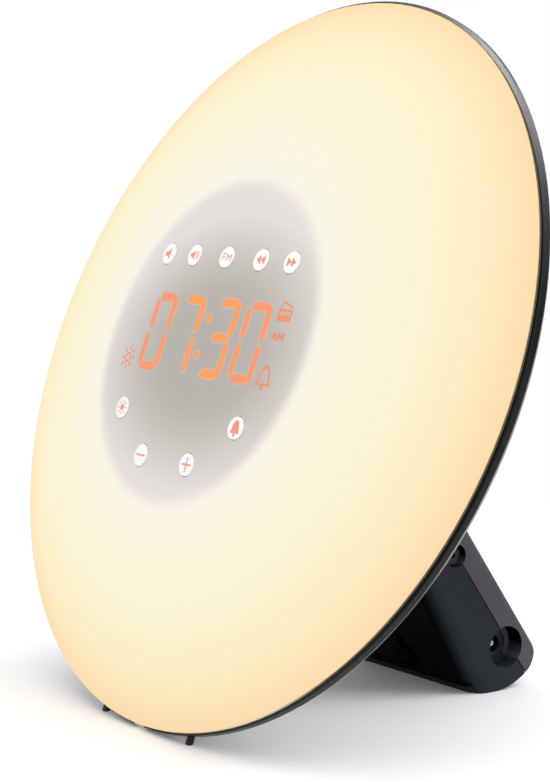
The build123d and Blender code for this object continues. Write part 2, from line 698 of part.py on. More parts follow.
def display_header():
    low = DISPLAY_BOARD_BASE - 2.0
    return disc_box(20, 4, low, DISPLAY_BOARD_BASE, 0, RIBBON_Y)


def ribbon_cable():
    """Flat cable from the main board's header up to the display board's header."""
    low = MAIN_BOARD_TOP + BOARD_PARTS["ribbon_header"][2]
    high = DISPLAY_BOARD_BASE - 2.0
    return disc_box(RIBBON_WIDTH, RIBBON_THICKNESS, low, high, 0, RIBBON_Y)


# ---------------------------------------------------------------- speaker
def speaker_frame():
    low = SPEAKER_SEAT + GASKET_THICKNESS
    rim = disc_cylinder(SPEAKER_RADIUS, low, low + SPEAKER_FLANGE, 0, SPEAKER_Y)
    basket = Pos(0, SPEAKER_Y, low + SPEAKER_FLANGE + SPEAKER_BASKET / 2) * Cone(
        SPEAKER_RADIUS - 2, MAGNET_RADIUS, SPEAKER_BASKET)
    magnet = disc_cylinder(MAGNET_RADIUS, low + 4.0, low + SPEAKER_DEPTH, 0, SPEAKER_Y)
    hollow = Pos(0, SPEAKER_Y, low + 1.6) * Cone(SPEAKER_RADIUS - 4, 6.0, 3.2)
    return rim + basket + magnet - hollow


def speaker_cone():
    low = SPEAKER_SEAT + GASKET_THICKNESS
    outside = Pos(0, SPEAKER_Y, low + 1.5) * Cone(SPEAKER_RADIUS - 4.1, 6.2, 3.0)
    inside = Pos(0, SPEAKER_Y, low + 1.1) * Cone(SPEAKER_RADIUS - 4.9, 5.4, 2.2)
    return outside - inside


def speaker_gasket():
    high = SPEAKER_SEAT + GASKET_THICKNESS
    return (disc_cylinder(SPEAKER_RADIUS, SPEAKER_SEAT, high, 0, SPEAKER_Y)
            - disc_cylinder(SPEAKER_RADIUS - SPEAKER_RING_WALL, SPEAKER_SEAT, high, 0, SPEAKER_Y))


# ---------------------------------------------------------------- screws
def screw(head_low, tip, x, y, up=1):
    """Cross-head screw along Z: head from head_low, shank to tip; up is the way it points."""
    head_high = head_low + up * SCREW_HEAD_HEIGHT
    head = disc_cylinder(SCREW_HEAD_RADIUS, *sorted((head_low, head_high)), x, y)
    shank = disc_cylinder(SCREW_RADIUS, *sorted((head_high, tip)), x, y)
    cut = sorted((head_low, head_low + up * CROSS_DEPTH))
    long = SCREW_HEAD_RADIUS * 1.3
    cross = disc_box(long, CROSS_WIDTH, *cut, x, y) + disc_box(CROSS_WIDTH, long, *cut, x, y)
    return head + shank - cross


def shell_screws():
    tip = REFLECTOR_TOP + REFLECTOR_BOSS_HEIGHT - 2
    return Compound(children=[
        screw(screw_head_place(x, y) - SCREW_HEAD_HEIGHT, tip, x, y)
        for x, y in corner_places(BOSS_X, BOSS_Y)])


def board_screws():
    mains = [screw(MAIN_BOARD_TOP + SCREW_HEAD_HEIGHT, MAIN_BOARD_BASE - 3.5, x, y, -1)
             for x, y in main_board_posts()]
    displays = [screw(DISPLAY_BOARD_TOP + SCREW_HEAD_HEIGHT, SHROUD_FLOOR_TOP - 1, x, y, -1)
                for x, y in corner_places(BOARD_POST_SPREAD_X, BOARD_POST_SPREAD_Y)]
    return Compound(children=mains + displays)


# ---------------------------------------------------------------- leg
REAR_UP = (-cos(radians(REAR_ANGLE)), sin(radians(REAR_ANGLE)))
REAR_IN = (-sin(radians(REAR_ANGLE)), -cos(radians(REAR_ANGLE)))
FRONT_UP = (-cos(radians(FRONT_ANGLE)), sin(radians(FRONT_ANGLE)))
FRONT_IN = (sin(radians(FRONT_ANGLE)), cos(radians(FRONT_ANGLE)))


def leg_point(along, inward=0.0):
    """Point (y, z) by its distance up the rear face from the heel corner, and in from it."""
    return (HEEL_Y + along * REAR_UP[0] + inward * REAR_IN[0],
            HEEL_Z + along * REAR_UP[1] + inward * REAR_IN[1])


def front_point(along, inward=0.0):
    """Point (y, z) by its distance up the front face from the sole, and in from it."""
    return (FRONT_FOOT_Y + along * FRONT_UP[0] + inward * FRONT_IN[0],
            SOLE_TOP + along * FRONT_UP[1] + inward * FRONT_IN[1])


def disc_meeting(inward):
    """Where a line up the leg, parallel to its rear face, runs into the back of the disc:
    its distance from the heel corner, and that place's height along the disc."""
    low, high = 0.0, 4 * HEEL_Y
    for _ in range(40):
        middle = (low + high) / 2
        y, z = leg_point(middle, inward)
        up_disc = y * TILT_SIN + (z - DISC_Z) * TILT_COS
        out = (z - DISC_Z) * TILT_SIN - y * TILT_COS
        if out < back_height(up_disc):
            low = middle
        else:
            high = middle
    return low, up_disc


LEG_REACH = disc_meeting(0)[0] + LEG_SINK
CABLE_WINDOW_CENTRE_Y = disc_meeting(SEAM_DEPTH)[1] + CABLE_WINDOW_RISE
LEG_BOSS_Y = CABLE_WINDOW_CENTRE_Y - LEG_BOSS_DROP


def leg_profile(inset):
    """Side outline of the leg in (y, z), moved in by a wall thickness."""
    front_low_y = FRONT_FOOT_Y + (SOLE_TOP - HEEL_CLEARANCE) / tan(radians(FRONT_ANGLE))
    corners = [(front_low_y, HEEL_CLEARANCE), (HEEL_FLAT_END_Y, HEEL_CLEARANCE),
               (HEEL_Y, HEEL_Z), leg_point(LEG_REACH), front_point(LEG_REACH)]
    face = make_face(Polyline(*corners, close=True))
    by_y = face.vertices().sort_by(Axis.X)
    face = fillet(by_y[-1], HEEL_RADIUS)
    flat_end = [v for v in face.vertices() if abs(v.X - HEEL_FLAT_END_Y) < 0.01]
    face = fillet(flat_end, HEEL_CURVE_RADIUS)
    return offset(face, -inset, kind=Kind.INTERSECTION) if inset else face


def rounded_prism(corner, up, inward, inset, radius):
    """Long prism that runs up one face of the leg and rounds that face's two long edges.

    inward is the side of the face on which the leg lies: 1 for the front face, -1 for the rear."""
    plane = Plane(origin=(0, *corner), x_dir=(1, 0, 0), z_dir=(0, *up))
    depth = 2 * LEG_REACH
    section = Pos(0, inward * (inset + depth / 2)) * Rectangle(2 * (HALF_LEG - inset), depth)
    near = section.vertices().group_by(Axis.Y)[0 if inward > 0 else -1]
    return extrude(plane * fillet(near, radius), depth, both=True)


def front_prism(inset):
    return rounded_prism(front_point(0), FRONT_UP, 1, inset, max(LEG_FRONT_RADIUS - inset, 1.0))


def leg_block(inset=0.0):
    block = extrude(Plane.YZ * leg_profile(inset), LEG_WIDTH, both=True)
    rear = rounded_prism(leg_point(0), REAR_UP, -1, inset, max(LEG_REAR_RADIUS - inset, 0.5))
    return block & front_prism(inset) & rear


def side_tube(place, radius, outer_x, inner_x):
    """Round plug along X between two x places."""
    y, z = place
    return Pos((outer_x + inner_x) / 2, y, z) * Rot(0, 90, 0) * Cylinder(radius, outer_x - inner_x)


POWER_PLACE = leg_point(POWER_UP, POWER_IN)
AERIAL_PLACE = leg_point(AERIAL_UP, AERIAL_IN)
POWER_FLOOR_X = HALF_LEG - POWER_RECESS_DEPTH
AERIAL_FLOOR_X = HALF_LEG - AERIAL_RECESS_DEPTH


def arch_prism(radius, depth, outward=1.0):
    """Arched plug into the front face, from a little outside it to a depth."""
    base = front_point(0)
    plane = Plane(origin=(0, *base), x_dir=(1, 0, 0), z_dir=(0, *FRONT_IN))
    # on this plane local Y runs down the face
    arch = Pos(0, -POCKET_CENTRE) * (Circle(radius) + Pos(0, POCKET_CENTRE / 2)
                                     * Rectangle(2 * radius, POCKET_CENTRE))
    shape = extrude(plane * arch, depth + outward)
    return Pos(0, -outward * FRONT_IN[0], -outward * FRONT_IN[1]) * shape


def sole_box(low, high, spread=0.0):
    """Slice of the room under the leg's front, between two heights, widened by spread."""
    start = FRONT_FOOT_Y - SOLE_LENGTH
    end = FRONT_FOOT_Y + SOLE_LENGTH + spread
    half = HALF_LEG - SOLE_END_WALL + spread
    return Pos(0, (start + end) / 2, (low + high) / 2) * Box(2 * half, end - start, high - low)


def leg_shell():
    """Hollow leg before it is parted along the seam."""
    outer = leg_block()
    shell = outer - leg_block(LEG_WALL)
    recesses = (
        side_tube(POWER_PLACE, POWER_RECESS_RADIUS + RECESS_WALL, HALF_LEG - LEG_WALL,
                  POWER_FLOOR_X - RECESS_WALL)
        + side_tube(AERIAL_PLACE, AERIAL_RECESS_RADIUS + RECESS_WALL, HALF_LEG - LEG_WALL,
                    AERIAL_FLOOR_X - RECESS_WALL))
    tray = sole_box(0, SOLE_TOP + LEG_WALL, LEG_WALL)
    pocket = arch_prism(POCKET_RADIUS + POCKET_WALL, POCKET_DEPTH + POCKET_WALL)
    shell += (recesses + tray + pocket + leg_bosses()) & outer
    shell -= side_tube(POWER_PLACE, POWER_RECESS_RADIUS, HALF_LEG + 1, POWER_FLOOR_X)
    shell -= side_tube(POWER_PLACE, JACK_NOSE_RADIUS + FIT_GAP / 2, HALF_LEG,
                       POWER_FLOOR_X - 2 * RECESS_WALL)
    shell -= side_tube(AERIAL_PLACE, AERIAL_RECESS_RADIUS, HALF_LEG + 1, AERIAL_FLOOR_X)
    shell -= side_tube(AERIAL_PLACE, AERIAL_RECESS_RADIUS / 2, HALF_LEG,
                       AERIAL_FLOOR_X - 2 * RECESS_WALL)
    shell -= arch_prism(POCKET_RADIUS, POCKET_DEPTH)
    shell -= sole_box(0, SOLE_TOP)
    return shell - DISC_PLACE * back_solid()


def leg_boss_places():
    return [(sign * LEG_BOSS_X, LEG_BOSS_Y) for sign in (-1, 1)]


def leg_bosses():
    """Screw bosses under the back of the disc, each on a rib to the leg's front wall."""
    bosses = Part()
    for x, y in leg_boss_places():
        high = back_height(0) + 6
        low = back_height(0) - LEG_BOSS_LENGTH
        bosses += DISC_PLACE * disc_cylinder(BOSS_RADIUS, low, high, x, y)
        bosses += DISC_PLACE * disc_box(LEG_WALL, LEG_RIB_LENGTH, low, high, x,
                                        y - LEG_RIB_LENGTH / 2)
    return bosses


def leg_boss_holes():
    low = back_height(0) - LEG_BOSS_LENGTH + 2
    return [DISC_PLACE * disc_cylinder(SCREW_RADIUS, low, 0, x, y) for x, y in leg_boss_places()]


def seam_plane(inward):
    y, z = leg_point(0, inward)
    return Plane(origin=(0, y, z), x_dir=(1, 0, 0), z_dir=(0, *REAR_IN))


def seam_groove():
    """Shallow groove that runs round the leg along its seam."""
    band = extrude(seam_plane(SEAM_DEPTH) * Rectangle(400, 400), SEAM_GROOVE_WIDTH / 2, both=True)
    return (leg_block() - leg_block(SEAM_GROOVE_DEPTH)) & band


def leg_screw_places():
    return [(along, sign * LEG_SCREW_X) for along in LEG_SCREW_ROWS for sign in (-1, 1)]


def screw_axis_location(along, x):
    """Place on the rear face of the leg, with Z pointing into the leg."""
    y, z = leg_point(along)
    return Plane(origin=(x, y, z), x_dir=(1, 0, 0), z_dir=(0, *REAR_IN)).location


def cover_posts(radius, low, high):
    posts = Part()
    for along, x in leg_screw_places():
        post = Pos(0, 0, (low + high) / 2) * Cylinder(radius, high - low)
        posts += screw_axis_location(along, x) * post
    return posts


def leg_halves():
    shell = leg_shell() - seam_groove()
    room = leg_block(LEG_WALL / 2)
    seam = seam_plane(SEAM_DEPTH)
    posts = (cover_posts(BOSS_RADIUS, LEG_WALL, LEG_POST_REACH) & room) - DISC_PLACE * back_solid()
    solid = shell + posts - leg_boss_holes()
    solid -= cover_posts(SCREW_HOLE_RADIUS, -1, SEAM_DEPTH)
    solid -= cover_posts(SCREW_RADIUS, SEAM_DEPTH - 0.01, SEAM_DEPTH + 9)
    solid -= cover_posts(SCREW_HEAD_RADIUS + FIT_GAP, -1, SCREW_SEAT_DEPTH)
    front = split(solid, bisect_by=seam, keep=Keep.TOP)
    back = split(solid, bisect_by=seam, keep=Keep.BOTTOM)
    return front, back


def biggest(shape):
    """The largest solid of a shape."""
    return max(shape.solids(), key=lambda s: s.volume)


def leg_cover_screws():
    screws = []
    for along, x in leg_screw_places():
        one = screw(SCREW_SEAT_DEPTH - SCREW_HEAD_HEIGHT, SEAM_DEPTH + 8, 0, 0)
        screws.append(screw_axis_location(along, x) * one)
    return Compound(children=screws)


def leg_mount_screws():
    """Screws from inside the disc down into the leg's bosses."""
    screws = []
    for x, y in leg_boss_places():
        inside = back_height(sqrt(x * x + y * y), SHELL_WALL)
        tip = back_height(0) - LEG_BOSS_LENGTH + 3
        screws.append(screw(inside + SCREW_HEAD_HEIGHT + 0.3, tip, x, y, -1))
    return Compound(children=screws)


def sole_slab(low, high, inset):
    """Slice of the sole, set in from the leg's front face and rounded corners."""
    return sole_box(low, high, -FIT_GAP) & front_prism(inset)


def sole_plate():
    plate = sole_slab(PAD_HEIGHT, SOLE_TOP, SOLE_CORE_INSET)
    for low, inset in SOLE_RIDGES:
        plate += sole_slab(low, low + SOLE_RIDGE_HEIGHT, inset)
    return plate


def sole_pad():
    return sole_slab(0, PAD_HEIGHT, PAD_INSET)


# ---------------------------------------------------------------- sockets in the leg
def dc_jack():
    face = POWER_FLOOR_X - JACK_SET_BACK
    back = POWER_FLOOR_X - RECESS_WALL
    nose = side_tube(POWER_PLACE, JACK_NOSE_RADIUS, face, back)
    y, z = POWER_PLACE
    block = Box(JACK_LENGTH, JACK_BODY, JACK_BODY)
    body = Pos(back - JACK_LENGTH / 2, y, z) * Rot(90 - REAR_ANGLE, 0, 0) * block
    return nose + body - side_tube(POWER_PLACE, JACK_BORE_RADIUS, face + 1, face - JACK_BORE_DEPTH)


def dc_jack_pin():
    face = POWER_FLOOR_X - JACK_SET_BACK
    return side_tube(POWER_PLACE, JACK_PIN_RADIUS, face - JACK_PIN_SET_BACK,
                     face - JACK_BORE_DEPTH)


def aerial_grommet():
    """Rubber bush in the upper recess, with the hole that an aerial wire leaves by."""
    face = AERIAL_FLOOR_X
    bush = side_tube(AERIAL_PLACE, AERIAL_RECESS_RADIUS - FIT_GAP, face + 2.0, face)
    bush = chamfer(bush.edges().sort_by(Axis.X)[-1], 0.9)
    neck = side_tube(AERIAL_PLACE, AERIAL_RECESS_RADIUS / 2, face, face - RECESS_WALL)
    return bush + neck - side_tube(AERIAL_PLACE, 1.0, face + 3, face - 3)


def lead(points):
    """Round lead along straight runs joined by arcs as large as the runs allow."""
    spots = [Vector(*p) for p in points]
    radii = []
    for before, here, after in zip(spots, spots[1:], spots[2:]):
        turn = radians((here - before).get_angle(after - here))
        run = min((here - before).length, (after - here).length)
        radii.append(LEAD_CORNER * run / tan(turn / 2))
    print("lead radii", [round(r, 1) for r in radii])
    path = FilletPolyline(*points, radius=radii)
    return sweep((path ^ 0) * Circle(LEAD_RADIUS), path=path)


def to_row(x, y, z):
    """Place of a disc point in the standing frame."""
    place = DISC_PLACE * Pos(x, y, z)
    return tuple(place.position)


def lead_height(socket):
    """Height at which a lead enters the side of its socket on the main board."""
    return MAIN_BOARD_TOP + BOARD_PARTS[socket][2] / 2


def lead_end(socket):
    """Place on a socket's upper side where its lead enters."""
    _, size_y, _, socket_x, socket_y = BOARD_PARTS[socket]
    return socket_x, MAIN_BOARD_CENTRE_Y + socket_y + size_y / 2


def jack_lead():
    """Lead from the back of the jack up the leg, through the window, to the power socket."""
    y, z = POWER_PLACE
    start_x = POWER_FLOOR_X - RECESS_WALL - JACK_LENGTH
    level = lead_height("power_socket")
    end_x, end_y = lead_end("power_socket")
    window = to_row(LEAD_X, CABLE_WINDOW_CENTRE_Y, back_height(0) - 2)
    low_leg = (LEAD_X, y + LEAD_STEP * REAR_UP[0], z + LEAD_STEP * REAR_UP[1])
    middle = tuple((a + b) / 2 + c for a, b, c in zip(low_leg, window, (0, LEAD_SAG, 0)))
    points = [(start_x, y, z), (LEAD_X, y, z), low_leg, middle, window,
              to_row(LEAD_X + 1, CABLE_WINDOW_CENTRE_Y, level),
              to_row(end_x, CABLE_WINDOW_CENTRE_Y - 5, level), to_row(end_x, end_y, level)]
    return lead(points)


def speaker_lead():
    """Lead from the main board to the side of the speaker's flange."""
    level = lead_height("speaker_socket")
    end_x, end_y = lead_end("speaker_socket")
    angle = radians(SPEAKER_LEAD_ANGLE)
    reach = SPEAKER_RADIUS + FIT_GAP
    flange = SPEAKER_SEAT + GASKET_THICKNESS + SPEAKER_FLANGE / 2
    tip = (reach * cos(angle), SPEAKER_Y + reach * sin(angle), flange)
    out = (tip[0] + SPEAKER_LEAD_OUT * cos(angle), tip[1] + SPEAKER_LEAD_OUT * sin(angle), flange)
    climb = [(end_x + aside, end_y + share * (out[1] - end_y), level + drop)
             for share, aside, drop in SPEAKER_LEAD_STEPS]
    return lead([(end_x, end_y, level), *climb, out, tip])


# ---------------------------------------------------------------- assembly
def disc_parts():
    parts = {
        "diffuser": diffuser(), "rear_shell": rear_shell(), "rim_feet": rim_feet(),
        "reflector": reflector(), "led_board": ring_board(), "led_chips": led_chips(),
        "display_shroud": display_shroud(), "display_board": display_board(),
        "display_header": display_header(), "digit_block": digit_block(),
        "segments_lit": segments(True), "segments_dark": segments(False),
        "indicator_icons": indicator_icons(), "keypad_mat": keypad_mat(),
        "contact_pills": contact_pills(), "main_board": main_board(),
        "main_board_parts": main_board_parts(), "reserve_capacitor": reserve_capacitor(),
        "ribbon_cable": ribbon_cable(), "speaker_frame": speaker_frame(),
        "speaker_cone": speaker_cone(), "speaker_gasket": speaker_gasket(),
        "speaker_lead": speaker_lead(), "shell_screws": shell_screws(),
        "board_screws": board_screws(), "leg_mount_screws": leg_mount_screws(),
    }
    for name, (x, y) in BUTTONS.items():
        parts[name] = button(x, y)
    return {name: DISC_PLACE * shape for name, shape in parts.items()}


def leg_parts():
    housing, cover = leg_halves()
    return {
        "leg_housing": biggest(housing), "leg_cover": biggest(cover),
        "leg_sole_plate": sole_plate(), "leg_sole_pad": sole_pad(),
        "dc_jack": dc_jack(), "dc_jack_pin": dc_jack_pin(), "aerial_grommet": aerial_grommet(),
        "leg_cover_screws": leg_cover_screws(), "jack_lead": jack_lead(),
    }


def main():
    os.makedirs("parts", exist_ok=True)
    parts = {**disc_parts(), **leg_parts()}
    boxes = [shape.bounding_box() for shape in parts.values()]
    low_y = min(box.min.Y for box in boxes)
    high_y = max(box.max.Y for box in boxes)
    centred = Pos(0, -(low_y + high_y) / 2, 0)
    print("depth centre", round((low_y + high_y) / 2, 4), "disc centre height", round(DISC_Z, 4))
    for name, shape in parts.items():
        export_step(centred * shape, os.path.join("parts", name + ".step"))


main()
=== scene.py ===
"""Looks of the sunrise alarm clock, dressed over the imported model.

Everything stands in the model's own frame, in metres. What lies on the disc is drawn in
millimetres along the disc's own axes, and turned into that frame last.
"""
import bpy
import bmesh
import json
from math import cos, pi, radians, sin
from mathutils import Matrix, Vector


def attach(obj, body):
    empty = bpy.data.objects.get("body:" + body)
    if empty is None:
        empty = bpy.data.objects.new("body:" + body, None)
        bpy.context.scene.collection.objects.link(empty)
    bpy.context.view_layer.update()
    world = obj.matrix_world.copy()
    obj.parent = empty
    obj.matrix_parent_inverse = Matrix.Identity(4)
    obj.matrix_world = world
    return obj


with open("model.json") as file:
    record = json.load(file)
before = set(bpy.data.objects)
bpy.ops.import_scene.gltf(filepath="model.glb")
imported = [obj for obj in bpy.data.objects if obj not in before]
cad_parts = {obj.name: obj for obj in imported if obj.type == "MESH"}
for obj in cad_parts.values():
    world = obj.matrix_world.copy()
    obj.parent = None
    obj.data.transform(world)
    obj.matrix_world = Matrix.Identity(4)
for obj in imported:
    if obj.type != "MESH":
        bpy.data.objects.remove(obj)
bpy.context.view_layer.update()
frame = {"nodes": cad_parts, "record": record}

MM = 0.001
ROOT = "clock"
BLACK = (0, 0, 0, 1)
WHITE = (1, 1, 1, 1)

# ---------------------------------------------------------------- the disc's own frame
# u to the right, v up along the disc, w out of its face; lengths in millimetres
DISC_RADIUS = 132.5
DOME_HEIGHT = 23.6
DOME_FULLNESS = 0.744
TILT = 22.0
DISC_CENTRE = Vector((0.0, -0.0249334, 0.1249568))     # metres, in the model's frame
DISC_TURN = radians(90 - TILT)
DISC = Matrix.Translation(DISC_CENTRE) @ Matrix.Rotation(DISC_TURN, 4, "X")


def metres(lengths):
    return [length * MM for length in lengths]


def dome(u, v):
    """Height of the diffuser's outside over the rim plane."""
    q = (u * u + v * v) / DISC_RADIUS ** 2
    return DOME_HEIGHT * (1 - q) * (1 + DOME_FULLNESS * q)


def disc_point(u, v, w):
    """Point on the disc's axes, turned into the model's frame."""
    return DISC @ Vector(metres((u, v, w)))


# ---------------------------------------------------------------- node helpers
def linear(rgb):
    """Linear colour from 0..255 display values."""
    out = []
    for value in rgb:
        c = value / 255
        out.append(c / 12.92 if c <= 0.04045 else ((c + 0.055) / 1.055) ** 2.4)
    return (*out, 1.0)


def scaled(colour, factor):
    """Linear colour made darker or lighter."""
    return (*(min(1.0, c * factor) for c in colour[:3]), 1.0)


class Nodes:
    """Builds the node tree of a material or a world."""

    def __init__(self, owner):
        owner.use_nodes = True
        self.tree = owner.node_tree

    def find(self, kind):
        return next(n for n in self.tree.nodes if n.type == kind)

    def node(self, kind, **values):
        made = self.tree.nodes.new("ShaderNode" + kind)
        for key, value in values.items():
            setattr(made, key, value)
        return made

    def link(self, source, target):
        self.tree.links.new(source, target)

    def feed(self, socket, value):
        """Link a node's output to a socket, or set the socket to a plain value."""
        if hasattr(value, "is_output"):
            self.link(value, socket)
        else:
            socket.default_value = value

    def coordinates(self):
        return self.node("TexCoord").outputs["Object"]

    def disc_coordinates(self):
        """Coordinates in the disc's frame, in metres."""
        made = self.node("Mapping", vector_type="TEXTURE")
        made.inputs["Location"].default_value = DISC_CENTRE
        made.inputs["Rotation"].default_value = (DISC_TURN, 0, 0)
        self.link(self.coordinates(), made.inputs["Vector"])
        return made.outputs["Vector"]

    def split(self, vector):
        made = self.node("SeparateXYZ")
        self.link(vector, made.inputs[0])
        return made.outputs

    def distance(self, place, centre=(0.0, 0.0), stretch=1.0):
        """Distance from a centre, along the first two axes; the first one may be stretched."""
        flat = self.node("VectorMath", operation="MULTIPLY_ADD")
        flat.inputs[1].default_value = (stretch, 1, 0)
        flat.inputs[2].default_value = (-centre[0] * stretch, -centre[1], 0)
        self.link(place, flat.inputs[0])
        length = self.node("VectorMath", operation="LENGTH")
        self.link(flat.outputs["Vector"], length.inputs[0])
        return length.outputs["Value"]

    def along(self, vector, direction):
        """How far a vector reaches along a direction."""
        made = self.node("VectorMath", operation="DOT_PRODUCT")
        made.inputs[1].default_value = direction
        self.link(vector, made.inputs[0])
        return made.outputs["Value"]

    def math(self, operation, *values):
        made = self.node("Math", operation=operation)
        for socket, value in zip(made.inputs, values):
            self.feed(socket, value)
        return made.outputs[0]

    def remap(self, value, low, high, to_low=0.0, to_high=1.0, kind="LINEAR"):
        """Value from low..high turned into to_low..to_high, and held at its ends."""
        made = self.node("MapRange", interpolation_type=kind)
        ends = {"From Min": low, "From Max": high, "To Min": to_low, "To Max": to_high}
        for name, end in ends.items():
            self.feed(made.inputs[name], end)
        self.link(value, made.inputs["Value"])
        return made.outputs["Result"]

    def span(self, factor, low, high):
        """Factor 0..1 turned into low..high."""
        return self.remap(factor, 0.0, 1.0, low, high)

    def noise(self, scale, detail=3.0, roughness=0.5):
        made = self.node("TexNoise")
        made.inputs["Scale"].default_value = scale
        made.inputs["Detail"].default_value = detail
        made.inputs["Roughness"].default_value = roughness
        self.link(self.coordinates(), made.inputs["Vector"])
        return made.outputs["Fac"]

    def ramp(self, factor, stops):
        """Colour ramp; each stop is (place, linear colour or grey value)."""
        made = self.node("ValToRGB")
        elements = made.color_ramp.elements
        while len(elements) < len(stops):
            elements.new(0.5)
        for element, (place, value) in zip(elements, stops):
            element.position = place
            element.color = value if hasattr(value, "__len__") else (value, value, value, 1)
        self.link(factor, made.inputs["Fac"])
        return made.outputs["Color"]

    def mottle(self, cloudy, rgb, vary):
        """Display colour that wanders darker and lighter by a share."""
        base = linear(rgb)
        return self.ramp(cloudy, [(0.3, scaled(base, 1 - vary)), (0.7, scaled(base, 1 + vary))])

    def mix(self, factor, a, b):
        # inputs 0, 6 and 7 and output 2 of a Mix node are its factor and its colours
        made = self.node("Mix", data_type="RGBA")
        for index, value in ((0, factor), (6, a), (7, b)):
            self.feed(made.inputs[index], value)
        return made.outputs[2]

    def share_of(self, share, colour):
        """Only a share of a colour."""
        return self.mix(share, BLACK, colour)


class Shader(Nodes):
    """A node material built around one Principled shader."""

    def __init__(self, name):
        self.material = bpy.data.materials.new(name)
        super().__init__(self.material)
        self.main = self.find("BSDF_PRINCIPLED")

    def set(self, **values):
        """Feed the main shader's sockets; an underscore stands for a blank in a socket's name."""
        for key, value in values.items():
            self.feed(self.main.inputs[key.replace("_", " ")], value)

    def grain(self, scale, strength, depth):
        """Fine bumps all over the surface; their depth in metres."""
        made = self.node("Bump")
        made.inputs["Strength"].default_value = strength
        made.inputs["Distance"].default_value = depth
        self.link(self.noise(scale, GRAIN_DETAIL, GRAIN_ROUGHNESS), made.inputs["Height"])
        self.set(Normal=made.outputs["Normal"])


GRAIN_SCALE = 900.0
GRAIN_DETAIL = 4.0
GRAIN_ROUGHNESS = 0.6
GRAIN_DEPTH = 0.0002
GRAIN_TO_CLOUD = 22            # how much coarser a material's clouds are than its grain
ROUGH_VARY = 0.15              # share by which its roughness goes up and down


def plain(name, colour, rough, vary=0.15, grain=GRAIN_SCALE, bump=0.02, **more):
    """Moulded material: clouds in its colour and roughness, and fine grain in its surface."""
    shader = Shader(name)
    cloudy = shader.noise(grain / GRAIN_TO_CLOUD)
    roughness = shader.span(cloudy, rough * (1 - ROUGH_VARY), min(1.0, rough * (1 + ROUGH_VARY)))
    shader.set(Base_Color=shader.mottle(cloudy, colour, vary), Roughness=roughness, **more)
    if bump:
        shader.grain(grain, bump, GRAIN_DEPTH)
    return shader.material


# ---------------------------------------------------------------- the diffuser's light
# display colours by distance from a centre on the disc, in millimetres
GLOW = [(56.0, (250, 246, 233)), (66.0, (250, 246, 228)), (82.0, (251, 246, 219)),
        (100.0, (251, 243, 209)), (116.0, (252, 237, 197)), (126.0, (253, 228, 184)),
        (132.5, (253, 220, 172))]
# painted shade: the opal plastic turns grey where the display behind it blocks the glow, darkest
# at SHADE_CENTRE
ZONE_SHADE_TONES = [(0.0, (182, 176, 170)), (22.0, (187, 181, 176)), (30.0, (198, 192, 187)),
        (37.0, (210, 204, 199)), (43.0, (219, 213, 209)), (49.0, (229, 223, 219)),
        (56.0, (230, 224, 219))]
TONES_REACH = 140.0            # distance at the end of both ramps
ZONE_SOFT = (53.5, 62.5)       # where the grey display zone's painted shade fades into the glow
ZONE_CENTRE = (0.0, -1.5)
SHADE_CENTRE = (6.0, -5.0)     # the painted shade's darkest place in the zone
SHADE_STRETCH = 0.75           # its tones lie on ovals, wider than high
GLOW_BODY = 0.12               # share of the glow's colour that is the plastic's own
GLOW_LIGHT = 0.88
ZONE_LIGHT = 0.02
OPAL_CLOUDS = 60.0
OPAL_ROUGHNESS = (0.42, 0.5)
SIDE_TABLE_LIGHT_TONE = (206, 198, 182)    # the edge under the dome near the pale table, and the tab: their own cream with painted light from the table
SIDE_SHADE_TONE = (84, 78, 70)       # painted shade on the edge away from the table
SIDE_SHADE_FADE = (-122.0, -96.0)    # heights between which the painted light turns into the painted shade
SIDE_START = (0.1, -0.15)      # the edge begins between these heights over the rim plane
SIDE_LIGHT = 0.15


def face_light(shader):
    """(glow colour, grey zone colour of painted shade, share of glow, edge tone of painted light
    and shade, share of edge).
    """
    place = shader.disc_coordinates()

    def tones(stops, centre=(0.0, 0.0), stretch=1.0):
        distance = shader.distance(place, metres(centre), stretch)
        return shader.ramp(shader.math("DIVIDE", distance, TONES_REACH * MM),
                           [(r / TONES_REACH, linear(rgb)) for r, rgb in stops])

    height = shader.split(place)
    share = shader.remap(shader.distance(place, metres(ZONE_CENTRE)), *metres(ZONE_SOFT),
                         kind="SMOOTHERSTEP")
    side = shader.remap(height["Z"], *metres(SIDE_START))
    # painted light from the table low on the edge, turning into painted shade higher up
    rise = shader.remap(height["Y"], *metres(SIDE_SHADE_FADE), kind="SMOOTHSTEP")
    tone = shader.mix(rise, linear(SIDE_TABLE_LIGHT_TONE), linear(SIDE_SHADE_TONE))
    return tones(GLOW), tones(ZONE_SHADE_TONES, SHADE_CENTRE, SHADE_STRETCH), share, tone, side


def opal_material():
    """Diffuser: its own colour and its light, each over the grey zone, the glow and the edge; the
    zone's grey is painted shade, the edge's tones painted light and shade.
    """
    shader = Shader("opal_lit")
    glow, zone, share, tone, side = face_light(shader)

    def over_face(zone_colour, glow_colour, edge_colour):
        return shader.mix(side, shader.mix(share, zone_colour, glow_colour), edge_colour)

    body = over_face(zone, shader.share_of(GLOW_BODY, glow), tone)
    light = over_face(shader.share_of(ZONE_LIGHT, zone), glow, shader.share_of(SIDE_LIGHT, tone))
    shader.set(Base_Color=body, Emission_Color=light, Emission_Strength=GLOW_LIGHT,
               Roughness=shader.span(shader.noise(OPAL_CLOUDS), *OPAL_ROUGHNESS),
               Specular_IOR_Level=0.01)
    return shader.material


# ---------------------------------------------------------------- the leg
HEEL = Vector((0.0, 0.0802166, 0.01045))       # its rear face's low corner, in metres


def inward(degrees):
    """Direction forward and down, by its angle from straight down."""
    return Vector((0.0, -sin(radians(degrees)), -cos(radians(degrees))))


